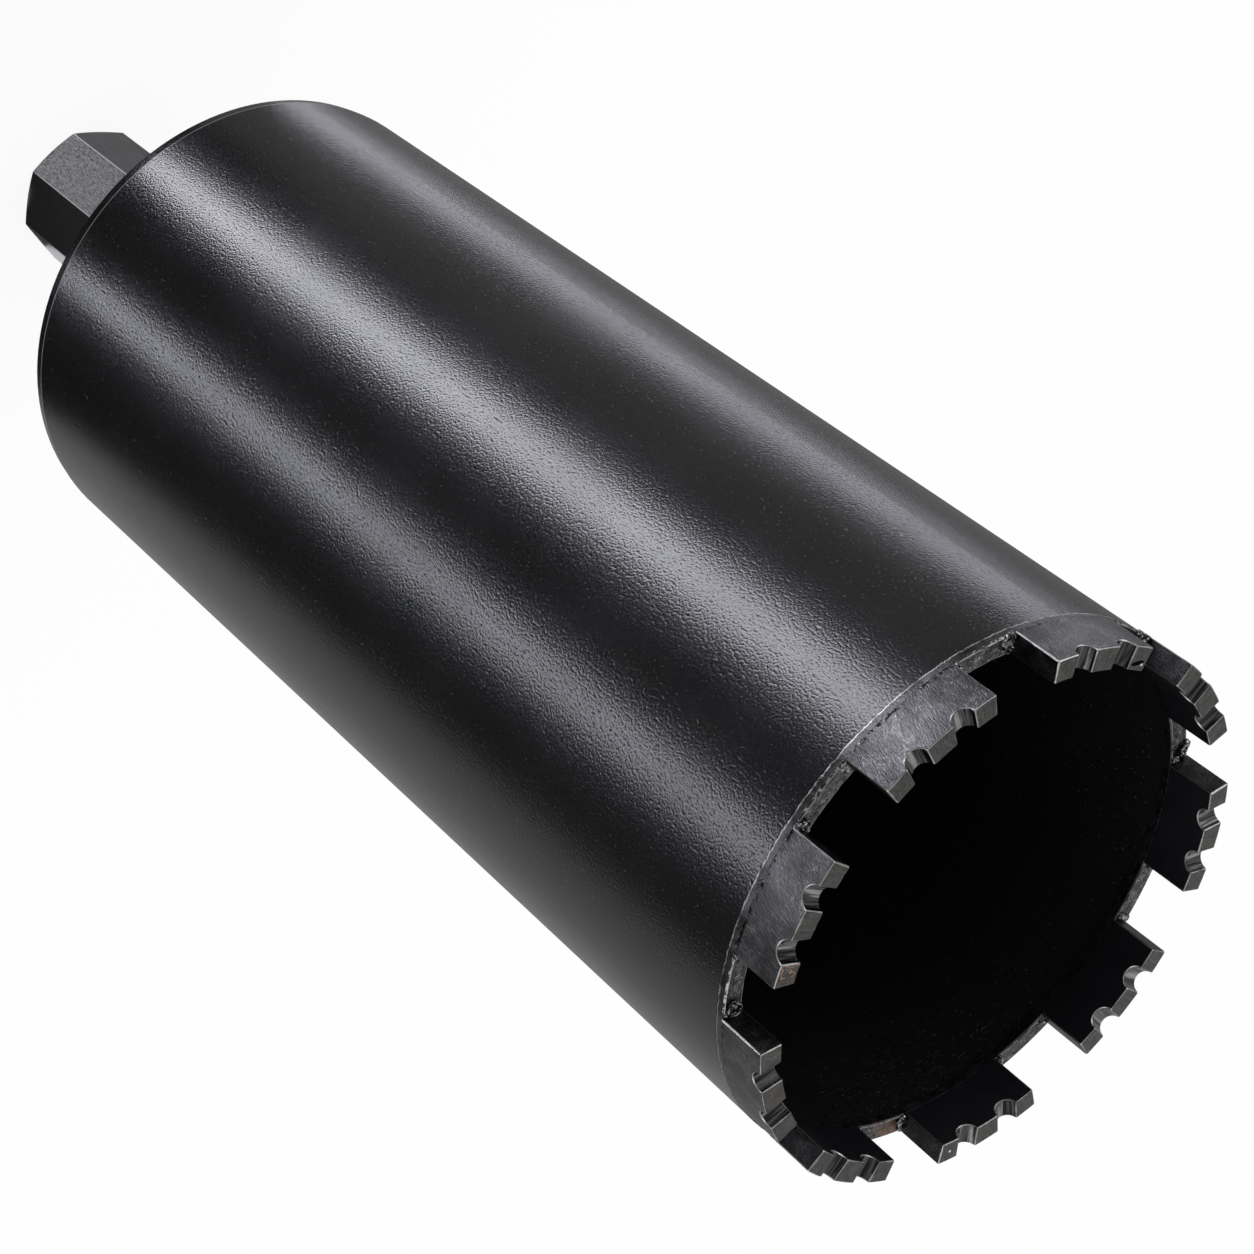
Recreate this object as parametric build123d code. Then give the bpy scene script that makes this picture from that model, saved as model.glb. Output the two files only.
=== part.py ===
from build123d import *
import os
from math import cos, degrees, pi, radians, tan

# Diamond core bit: a painted steel barrel, a bare crown ring with nine diamond segments, a thick back
# plate, and an eight-sided hub with an internal pipe thread.
# Lengths are in millimetres and angles in degrees. The bit stands on the end face of its hub. The origin
# is the centre of that face, and +Z runs along the axis to the cutting end.

# Cutting end
cut_diameter = 107.0        # circle that the outer faces of the segments run on
segment_count = 9
segment_length = 24.0       # along the outer arc
segment_thickness = 4.5
segment_height = 10.0
segment_relief = 0.3        # each side of a segment stands this far proud of the steel behind it
segment_edge = 0.25         # broken edge round the faces of a segment
notch_radius = 2.15         # half-round gullets across the cutting end
notch_offset = 5.1          # from the middle of a segment to each gullet, along the outer arc

# Crown ring, the bare end of the barrel that carries the segments
ring_height = 1.8
ring_edge = 0.3

# Barrel and back plate
body_length = 235.0         # rear face of the plate to the end face of the crown ring
barrel_wall = 2.5
plate_thickness = 8.0
plate_taper = 2.5           # along the axis, where the plate narrows to its rear face
plate_taper_depth = 0.4     # on the radius
plate_spigot = 3.0          # step of the plate that centres it in the barrel
fit_clearance = 0.05        # on the radius, between turned faces that slip together before welding

# Hub
hub_sides = 8
hub_flats = 32.0            # across the flats
hub_length = 76.0           # end face to the plate
hub_turn = 25.0             # one corner, from +X
hub_face_diameter = 31.0    # flat that the end chamfer leaves
hub_chamfer_angle = 30.0
hub_spigot_diameter = 26.0  # turned end that passes through the plate
hub_weld_leg = 3.0

# Half-inch pipe thread and the passage behind it
thread_minor_diameter = 18.63
thread_major_diameter = 20.96
thread_depth = 32.0
drill_point_angle = 118.0
passage_diameter = 12.0

# Braze that runs out at the foot of each segment
braze_leg = 1.3
braze_inset = 0.4           # kept in from the edges of the ring

cut_radius = cut_diameter / 2
core_radius = cut_radius - segment_thickness
barrel_radius = cut_radius - segment_relief
bore_radius = barrel_radius - barrel_wall
ring_bore_radius = core_radius + segment_relief
plate_face = hub_length
barrel_seat = plate_face + plate_thickness
plate_front = barrel_seat + plate_spigot
rim = plate_face + body_length
ring_seat = rim - ring_height
pitch = 360 / segment_count
segment_arc = degrees(segment_length / cut_radius)
notch_turn = degrees(notch_offset / cut_radius)


def turned(points, arc=360.0):
    """Solid turned about the axis from (radius, height) points, over an arc that starts at +X."""
    section = make_face(Polyline(*[(r, 0, z) for r, z in points], close=True))
    return revolve(section, Axis.Z, arc)


def bar_section(flats):
    """Polygon with the sides and the turn of the hub, by its width across the flats."""
    return RegularPolygon(flats / 2, hub_sides, major_radius=False, rotation=hub_turn)


def barrel():
    """Rolled and welded tube between the plate and the crown ring."""
    return turned([
        (bore_radius, barrel_seat),
        (barrel_radius, barrel_seat),
        (barrel_radius, ring_seat),
        (bore_radius, ring_seat),
    ])


def crown_ring():
    """Bare ring on the front of the barrel, thicker than its wall, with broken edges at the rim."""
    return turned([
        (ring_bore_radius, ring_seat),
        (barrel_radius, ring_seat),
        (barrel_radius, rim - ring_edge),
        (barrel_radius - ring_edge, rim),
        (ring_bore_radius + ring_edge, rim),
        (ring_bore_radius, rim - ring_edge),
    ])


def back_plate():
    """Turned disc that closes the barrel, with a step into its bore and a hole for the hub."""
    hole = hub_spigot_diameter / 2 + fit_clearance
    step = bore_radius - fit_clearance
    return turned([
        (hole, plate_face),
        (barrel_radius - plate_taper_depth, plate_face),
        (barrel_radius, plate_face + plate_taper),
        (barrel_radius, barrel_seat),
        (step, barrel_seat),
        (step, plate_front),
        (hole, plate_front),
    ])


def hub_bore():
    """Lead-in, threaded hole, drill point and water passage, as the solid that they leave empty."""
    minor = thread_minor_diameter / 2
    lead = (thread_major_diameter - thread_minor_diameter) / 2
    passage = passage_diameter / 2
    point = (minor - passage) / tan(radians(drill_point_angle / 2))
    return turned([
        (0, 0),
        (minor + lead, 0),
        (minor, lead),
        (minor, thread_depth),
        (passage, thread_depth + point),
        (passage, plate_front),
        (0, plate_front),
    ])


def hub():
    """Eight-sided bar with a turned chamfer on its end and a round spigot through the plate."""
    corner = hub_flats / 2 / cos(pi / hub_sides)
    flat = hub_face_diameter / 2
    chamfer_depth = (corner - flat) * tan(radians(hub_chamfer_angle))
    blank = turned([
        (0, 0),
        (flat, 0),
        (corner, chamfer_depth),
        (corner, plate_face),
        (0, plate_face),
    ])
    spigot = Pos(0, 0, plate_face) * Cylinder(
        hub_spigot_diameter / 2, plate_front - plate_face, align=(Align.CENTER, Align.CENTER, Align.MIN)
    )
    body = blank & extrude(bar_section(hub_flats), plate_face)
    return body + spigot - hub_bore()


def hub_weld():
    """Fillet weld with mitred corners, where the flats of the hub stand on the plate."""
    start = Pos(0, 0, plate_face - hub_weld_leg)
    block = start * extrude(bar_section(hub_flats + 2 * hub_weld_leg), 2 * hub_weld_leg)
    slopes = chamfer(block.edges().group_by(Axis.Z)[0], hub_weld_leg)
    bar = start * extrude(bar_section(hub_flats), hub_weld_leg)
    return split(slopes, Plane.XY.offset(plate_face), keep=Keep.BOTTOM) - bar


def segment():
    """Curved diamond segment, centred on +X, with two half-round gullets across its cutting end."""
    tip = rim + segment_height
    block = Rot(0, 0, -segment_arc / 2) * turned(
        [(core_radius, rim), (cut_radius, rim), (cut_radius, tip), (core_radius, tip)], segment_arc
    )
    gullet = Pos(0, 0, tip) * Rot(0, 90, 0) * Cylinder(
        notch_radius, cut_radius + segment_relief, align=(Align.CENTER, Align.CENTER, Align.MIN)
    )
    for turn in (-notch_turn, notch_turn):
        block -= Rot(0, 0, turn) * gullet
    above_foot = block.edges().filter_by(lambda edge: edge.bounding_box().max.Z > rim + segment_edge)
    return chamfer(above_foot, segment_edge)


def braze():
    """Two beads of braze on the ring, one against each end of the segment on +X."""
    start = ring_bore_radius + braze_inset
    length = barrel_radius - braze_inset - start
    beads = []
    for side in (-1, 1):
        crest = braze_leg * cos(pi / 4)
        section = make_face(Polyline(
            (0, 0), (side * braze_leg, 0), (side * crest, crest), (0, braze_leg), close=True
        ))
        bead = Plane(origin=(start, 0, rim), x_dir=(0, 1, 0), z_dir=(1, 0, 0)) * extrude(section, length)
        beads.append(Rot(0, 0, side * segment_arc / 2) * bead)
    return Compound(children=beads)


parts = {
    "barrel": barrel(),
    "crown_ring": crown_ring(),
    "back_plate": back_plate(),
    "hub": hub(),
    "hub_weld": hub_weld(),
}
one_segment = segment()
one_braze = braze()
for number in range(segment_count):
    place = Rot(0, 0, number * pitch)
    parts[f"segment_{number + 1}"] = place * one_segment
    parts[f"braze_{number + 1}"] = place * one_braze

os.makedirs("parts", exist_ok=True)
for name, shape in parts.items():
    export_step(shape, f"parts/{name}.step")
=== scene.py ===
import itertools
import math
import random

import bmesh
import bpy
from bpy.props import FloatProperty, FloatVectorProperty, IntProperty, PointerProperty
from mathutils import Matrix, Vector, noise


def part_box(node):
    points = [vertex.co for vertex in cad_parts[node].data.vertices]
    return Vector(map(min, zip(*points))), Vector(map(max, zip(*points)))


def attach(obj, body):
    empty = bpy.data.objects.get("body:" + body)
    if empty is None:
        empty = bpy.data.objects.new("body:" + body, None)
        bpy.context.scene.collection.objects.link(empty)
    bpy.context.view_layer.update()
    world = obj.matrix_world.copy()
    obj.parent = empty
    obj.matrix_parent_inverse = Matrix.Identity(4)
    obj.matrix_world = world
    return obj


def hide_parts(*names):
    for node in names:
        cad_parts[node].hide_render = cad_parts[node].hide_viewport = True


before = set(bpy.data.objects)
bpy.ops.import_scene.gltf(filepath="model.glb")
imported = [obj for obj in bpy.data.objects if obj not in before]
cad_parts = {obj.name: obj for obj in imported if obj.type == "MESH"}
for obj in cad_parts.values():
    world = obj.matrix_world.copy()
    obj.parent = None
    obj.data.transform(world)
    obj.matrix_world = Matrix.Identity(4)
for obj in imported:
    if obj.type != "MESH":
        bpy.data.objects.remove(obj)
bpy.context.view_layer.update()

bl_info = {
    "name": "Diamond core bit",
    "version": (1, 0, 0),
    "blender": (4, 5, 0),
    "location": "3D View > Sidebar > Core bit",
    "description": "Dresses the core bit's solids and sets its studio",
    "category": "Object",
}

MM = 0.001
INCH = 25.4 * MM

# Sizes read from the frame
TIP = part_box("segment_1")[1].z
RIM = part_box("segment_1")[0].z
CUT_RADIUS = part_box("segment_1")[1].x
HALF_ARC = math.asin(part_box("segment_1")[1].y / CUT_RADIUS)
BARREL_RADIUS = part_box("barrel")[1].x
RING_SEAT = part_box("crown_ring")[0].z
PLATE_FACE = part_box("back_plate")[0].z
SEGMENTS = sum(name.startswith("segment_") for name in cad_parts)
PITCH = math.tau / SEGMENTS

# Sizes that the boxes of the nodes don't give
CORE_RADIUS = CUT_RADIUS - 4.5 * MM
RING_BORE = CORE_RADIUS + 0.3 * MM
GULLET_RADIUS = 2.15 * MM
GULLET_TURN = 5.1 * MM / CUT_RADIUS
TAPER = 2.5 * MM
HUB_SIDES = 8
HUB_FLATS = 32.0 * MM
HUB_TURN = math.radians(25.0)

# Where the photograph's camera stands
CAMERA_PLACE = (0.22467, 0.35415, 0.56142)
CAMERA_RIGHT = Vector((0.25756, -0.75407, 0.60419))
CAMERA_DOWN = Vector((-0.87288, 0.08661, 0.48019))
CAMERA_AHEAD = Vector((-0.41443, -0.65106, -0.63590))
CAMERA_LENS = 81.17

BLOWN = "blown"
# Flat of the hub that is etched: its azimuth and half width in degrees
ETCHED_FLAT = (47.5, 22.5)
# Marks on the cutting ends: azimuth in degrees, then place from the axis, length and width in
# millimetres, and slant; a fleck's colour comes last
CHIP = (-10.1, 50.4, 1.7, 0.48, 0.85)
FLECKS = (
    (-11.6, 50.2, 0.4, 0.26, 0.0, (0.42, 0.40, 0.37)),
    (189.7, 51.2, 0.28, 0.28, 0.0, (0.6, 0.58, 0.55)),
)

# Colours of dirt, wear and heat, and of painted highlights
PEBBLE_SPARKLE = (0.1, 0.1, 0.105)
BORE_SCRATCH = (0.075, 0.075, 0.08)
LIP_HIGHLIGHT = (0.16, 0.16, 0.17)
BURNT = (0.006, 0.006, 0.007)
PAINT_END = (0.004, 0.004, 0.005)
GROOVE = (0.004, 0.004, 0.004)
OPEN_JOINT = (0.006, 0.006, 0.006)
STEEL_GLINT = (0.4, 0.39, 0.38)
SCORED_STEEL = (0.35, 0.34, 0.33)
RUBBED_RING = (0.45, 0.44, 0.43)
RUBBED_RIM = (0.42, 0.41, 0.40)
HEAT_TINT = (0.16, 0.085, 0.05)
RING_INSIDE = (0.04, 0.042, 0.05)
STAIN = (0.36, 0.20, 0.12)
CHIP_COLOUR = (0.003, 0.003, 0.003)
INNER_FACE = (0.06, 0.063, 0.075)
BURNT_BRAZE = (0.012, 0.012, 0.012)
HUB_EDGE_HIGHLIGHT = (0.62, 0.62, 0.64)
CUT_THREAD = (0.4, 0.39, 0.37)

# Colour sockets of a Mix node
MIX_AMOUNT, MIX_FIRST, MIX_SECOND, MIX_RESULT = 0, 6, 7, 2


# Sizes and colours that a user would change

class PaintFinish(bpy.types.PropertyGroup):
    """Powder coat of the barrel and the back plate"""

    colour: FloatVectorProperty(
        name="Colour", description="Colour of the powder coat", subtype="COLOR",
        size=3, min=0.0, max=1.0, default=(0.0045, 0.0045, 0.0052),
    )
    roughness: FloatProperty(
        name="Roughness", description="How far the coat spreads a reflection", subtype="FACTOR",
        min=0.0, max=1.0, default=0.26,
    )
    pebble: FloatProperty(
        name="Pebble size", description="Width of one grain of the pebbled texture", unit="LENGTH",
        min=0.0001, max=0.01, default=0.0005,
    )
    relief: FloatProperty(
        name="Pebble height", description="Height of the pebbled texture", unit="LENGTH",
        min=0.0, max=0.001, default=0.000036,
    )


class SegmentFinish(bpy.types.PropertyGroup):
    """Sintered metal of the segments"""

    colour: FloatVectorProperty(
        name="Colour", description="Colour of the outer faces", subtype="COLOR",
        size=3, min=0.0, max=1.0, default=(0.085, 0.084, 0.086),
    )
    land_colour: FloatVectorProperty(
        name="Cutting end colour", description="Colour of the ground cutting ends", subtype="COLOR",
        size=3, min=0.0, max=1.0, default=(0.038, 0.0365, 0.035),
    )
    edge_colour: FloatVectorProperty(
        name="Worn edge colour", description="Colour where the edges are rubbed bright", subtype="COLOR",
        size=3, min=0.0, max=1.0, default=(0.42, 0.41, 0.40),
    )
    roughness: FloatProperty(
        name="Roughness", description="How far the outer faces spread a reflection", subtype="FACTOR",
        min=0.0, max=1.0, default=0.40,
    )


class SteelFinish(bpy.types.PropertyGroup):
    """Bare crown ring, hub and weld"""

    ring_colour: FloatVectorProperty(
        name="Ring colour", description="Colour of the bare crown ring", subtype="COLOR",
        size=3, min=0.0, max=1.0, default=(0.10, 0.098, 0.098),
    )
    hub_colour: FloatVectorProperty(
        name="Hub colour", description="Colour of the blackened hub", subtype="COLOR",
        size=3, min=0.0, max=1.0, default=(0.15, 0.148, 0.152),
    )
    braze_colour: FloatVectorProperty(
        name="Braze colour", description="Colour of the braze at the feet", subtype="COLOR",
        size=3, min=0.0, max=1.0, default=(0.16, 0.156, 0.152),
    )


class HubThread(bpy.types.PropertyGroup):
    """Internal pipe thread of the hub"""

    turns_per_inch: FloatProperty(
        name="Turns per inch", description="Turns of the thread in one inch",
        min=4.0, max=40.0, default=14.0,
    )
    depth: FloatProperty(
        name="Threaded depth", description="Depth of the threaded hole", unit="LENGTH",
        min=0.005, max=0.05, default=0.032,
    )


class BrazeShape(bpy.types.PropertyGroup):
    """Lumps of braze at the feet of the segments"""

    lump: FloatProperty(
        name="Lump size", description="Radius of an average lump", unit="LENGTH",
        min=0.0001, max=0.003, default=0.0010,
    )
    seed: IntProperty(name="Seed", description="Chooses how the lumps fall", default=7)


class Studio(bpy.types.PropertyGroup):
    """Floor, lights and background"""

    background: FloatVectorProperty(
        name="Background", description="Colour of the floor and the background", subtype="COLOR",
        size=3, min=0.0, max=1.0, default=(1.0, 1.0, 1.0),
    )
    in_gloss: FloatProperty(
        name="Background in gloss", description="How bright gloss and metal show the background",
        min=0.0, max=1.0, default=0.45,
    )
    ambient: FloatProperty(
        name="Ambient", description="Strength of the even light from all round",
        min=0.0, max=2.0, default=0.6,
    )
    strips: FloatProperty(
        name="Strip lights", description="Strength of the strip lights on the floor",
        min=0.0, max=5.0, default=1.0,
    )


# Node helpers

def new_material(name):
    """Material with an empty node tree."""
    material = bpy.data.materials.new(name)
    material.use_nodes = True
    material.node_tree.nodes.clear()
    return material, material.node_tree


def put(tree, kind, sockets=None, **settings):
    """Adds a node; a socket's value is a number, a colour or another node's output."""
    node = tree.nodes.new(kind)
    for key, value in settings.items():
        setattr(node, key, value)
    for key, value in (sockets or {}).items():
        if isinstance(value, bpy.types.NodeSocket):
            tree.links.new(value, node.inputs[key])
        else:
            node.inputs[key].default_value = value
    return node


def calc(tree, operation, *values):
    """Output of a Math node."""
    return put(tree, "ShaderNodeMath", dict(enumerate(values)), operation=operation).outputs[0]


def plus(tree, first, second):
    """Sum of two values."""
    return calc(tree, "ADD", first, second)


def minus(tree, first, second):
    """First value less the second."""
    return calc(tree, "SUBTRACT", first, second)


def times(tree, first, second):
    """Product of two values."""
    return calc(tree, "MULTIPLY", first, second)


def squares(tree, first, second):
    """Sum of the squares of two values."""
    return plus(tree, times(tree, first, first), times(tree, second, second))


def apart(tree, first, second):
    """Distance between two values."""
    return calc(tree, "ABSOLUTE", minus(tree, first, second))


def between(tree, value, low, high, to_low=0.0, to_high=1.0):
    """Value carried from one range to another, smoothly, and held at both ends."""
    sockets = {"Value": value, "From Min": low, "From Max": high, "To Min": to_low, "To Max": to_high}
    return put(tree, "ShaderNodeMapRange", sockets, interpolation_type="SMOOTHSTEP").outputs[0]


def fading(tree, value, low, high, most=1.0):
    """Mask that is full up to the low value and gone from the high one."""
    return between(tree, value, low, high, most, 0.0)


def shade(colour, share):
    """The colour made darker or lighter."""
    return [part * share for part in colour]


def opaque(colour):
    """Colour as a socket takes it; another node's output stays as it is."""
    return colour if isinstance(colour, bpy.types.NodeSocket) else (*colour, 1.0)


def blend(tree, amount, first, second):
    """Colour that goes from the first to the second with the amount."""
    sockets = {MIX_AMOUNT: amount, MIX_FIRST: opaque(first), MIX_SECOND: opaque(second)}
    return put(tree, "ShaderNodeMix", sockets, data_type="RGBA").outputs[MIX_RESULT]


def grain(tree, vector, size, detail=2.0, roughness=0.5, distortion=0.0):
    """Noise whose grains are about that wide, in metres."""
    sockets = {
        "Vector": vector, "Scale": 1.0 / size, "Detail": detail,
        "Roughness": roughness, "Distortion": distortion,
    }
    return put(tree, "ShaderNodeTexNoise", sockets).outputs["Fac"]


def hairlines(tree, vector, size, width, distortion=0.0):
    """Thin wandering lines, where a noise passes through its middle."""
    level = grain(tree, vector, size, detail=1.0, distortion=distortion)
    return fading(tree, apart(tree, level, 0.5), 0.0, width)


def wrinkled(tree, vector, size):
    """Coordinates counted in grains of that size, pushed about so that cells have uneven outlines."""
    sockets = {"Vector": vector, "Scale": 0.6 / size, "Detail": 1.0}
    push = put(tree, "ShaderNodeTexNoise", sockets).outputs["Color"]
    grid = put(tree, "ShaderNodeMapping", {"Vector": vector, "Scale": (1.0 / size,) * 3}).outputs[0]
    off = put(tree, "ShaderNodeVectorMath", {0: push, 1: (0.5, 0.5, 0.5)}, operation="SUBTRACT")
    return put(tree, "ShaderNodeVectorMath", {0: grid, 1: off.outputs[0]}, operation="ADD").outputs[0]


def stretched(tree, vector, scale, turn=(0.0, 0.0, 0.0)):
    """Coordinates turned and scaled, for streaks and scratches."""
    turned = put(tree, "ShaderNodeMapping", {"Vector": vector, "Rotation": turn})
    return put(tree, "ShaderNodeMapping", {"Vector": turned.outputs[0], "Scale": scale}).outputs[0]


def object_position(tree):
    """Position in the object's own coordinates, which are the bit's."""
    return put(tree, "ShaderNodeTexCoord").outputs["Object"]


def place(tree):
    """Position, height, radius and azimuth about the axis, and the unrolled surface."""
    position = object_position(tree)
    x, y, height = put(tree, "ShaderNodeSeparateXYZ", {0: position}).outputs
    radius = calc(tree, "SQRT", squares(tree, x, y))
    azimuth = calc(tree, "ARCTAN2", y, x)
    along = times(tree, azimuth, BARREL_RADIUS)
    unrolled = put(tree, "ShaderNodeCombineXYZ", {0: along, 1: height, 2: radius}).outputs[0]
    return position, height, radius, azimuth, unrolled


def turned_from(tree, azimuth, middle):
    """Angle from an azimuth, which is given in degrees, of half a turn at most."""
    return calc(tree, "WRAP", minus(tree, azimuth, math.radians(middle)), math.pi, -math.pi)


def by_azimuth(tree, azimuth, middle, half_width, soft=0.3):
    """Mask that is 1 about an azimuth, in degrees, and 0 away from it."""
    off = calc(tree, "ABSOLUTE", turned_from(tree, azimuth, middle))
    return fading(tree, off, math.radians(half_width - soft), math.radians(half_width + soft))


def from_middle(tree, azimuth):
    """Angle from the middle of the nearest segment."""
    return calc(tree, "ABSOLUTE", calc(tree, "WRAP", azimuth, PITCH / 2, -PITCH / 2))


def oval_mark(tree, azimuth, radius, middle, off_axis, length, width, slant):
    """Mask of an oval mark on a cutting end: its middle in degrees and from the axis, and its sizes."""
    forth = times(tree, turned_from(tree, azimuth, middle), CUT_RADIUS)
    forth = calc(tree, "DIVIDE", forth, length * MM)
    across = calc(tree, "DIVIDE", minus(tree, radius, off_axis * MM), width * MM)
    across = plus(tree, across, times(tree, forth, slant))
    return fading(tree, squares(tree, across, forth), 0.7, 1.1)


def finish_metal(tree, tone, roughness, height, relief, metallic=1.0, specular=0.5):
    """Principled shader with a bump, joined to the output."""
    bump = put(tree, "ShaderNodeBump", {"Height": height, "Distance": relief, "Strength": 1.0})
    shader = put(tree, "ShaderNodeBsdfPrincipled", {
        "Base Color": tone, "Roughness": roughness, "Metallic": metallic,
        "Specular IOR Level": specular, "Normal": bump.outputs[0],
    })
    put(tree, "ShaderNodeOutputMaterial", {"Surface": shader.outputs[0]})


def wear(node_name, material):
    """Gives a node of the frame its material."""
    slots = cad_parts[node_name].data.materials
    if len(slots) == 0:
        slots.append(material)
    for index in range(len(slots)):
        slots[index] = material


# Materials

def powder_coat(finish):
    """Black powder coat, pebbled like leather, with a dark brushed inside."""
    material, tree = new_material("powder_coat")
    position, height, radius, azimuth, unrolled = place(tree)
    colour = finish.colour
    inside = fading(tree, radius, BARREL_RADIUS - 1.2 * MM, BARREL_RADIUS - 0.8 * MM)
    outside = minus(tree, 1.0, inside)
    cloud = grain(tree, position, 22 * MM, detail=3.0)

    # Domed grains with folds outside, and fine lines round the bore inside
    sockets = {"Vector": wrinkled(tree, unrolled, finish.pebble), "Scale": 1.0}
    cells = put(tree, "ShaderNodeTexVoronoi", sockets, voronoi_dimensions="2D").outputs["Distance"]
    fold = grain(tree, position, finish.pebble * 1.2, detail=1.0)
    pebbled = minus(tree, times(tree, fold, 0.45), times(tree, cells, cells))
    brushed = grain(tree, stretched(tree, unrolled, (0.05, 1.0, 1.0)), 0.35 * MM, detail=3.0)
    relief = plus(tree, times(tree, pebbled, outside), times(tree, brushed, times(tree, inside, 0.5)))

    tone = blend(tree, cloud, shade(colour, 0.85), shade(colour, 1.2))
    # Pale specks over the coat: painted sparkle of the pebbles
    pebble_sparkle = between(tree, grain(tree, position, 0.45 * MM, detail=0.0), 0.76, 0.82)
    tone = blend(tree, times(tree, pebble_sparkle, 0.5), tone, PEBBLE_SPARKLE)

    # Faint scratches in the bore behind the ring
    rubs = grain(tree, stretched(tree, unrolled, (0.12, 1.0, 1.0)), 0.22 * MM)
    depth = between(tree, height, RING_SEAT - 34 * MM, RING_SEAT - 6 * MM)
    rubs = times(tree, between(tree, rubs, 0.64, 0.76), depth)
    rubs = times(tree, rubs, by_azimuth(tree, azimuth, 206.0, 30.0, 22.0))
    tone = blend(tree, times(tree, rubs, inside), tone, BORE_SCRATCH)

    # Painted highlight along the rounded edge where the plate starts to taper
    lip_highlight = fading(tree, apart(tree, height, PLATE_FACE + TAPER), 0.12 * MM, 0.26 * MM, 0.8)
    tone = blend(tree, times(tree, lip_highlight, outside), tone, LIP_HIGHLIGHT)
    roughness = between(tree, cloud, 0.3, 0.7, finish.roughness - 0.01, finish.roughness + 0.015)
    roughness = plus(tree, roughness, times(tree, inside, 0.12))
    finish_metal(tree, tone, roughness, relief, finish.relief, metallic=0.0)
    return material


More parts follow.
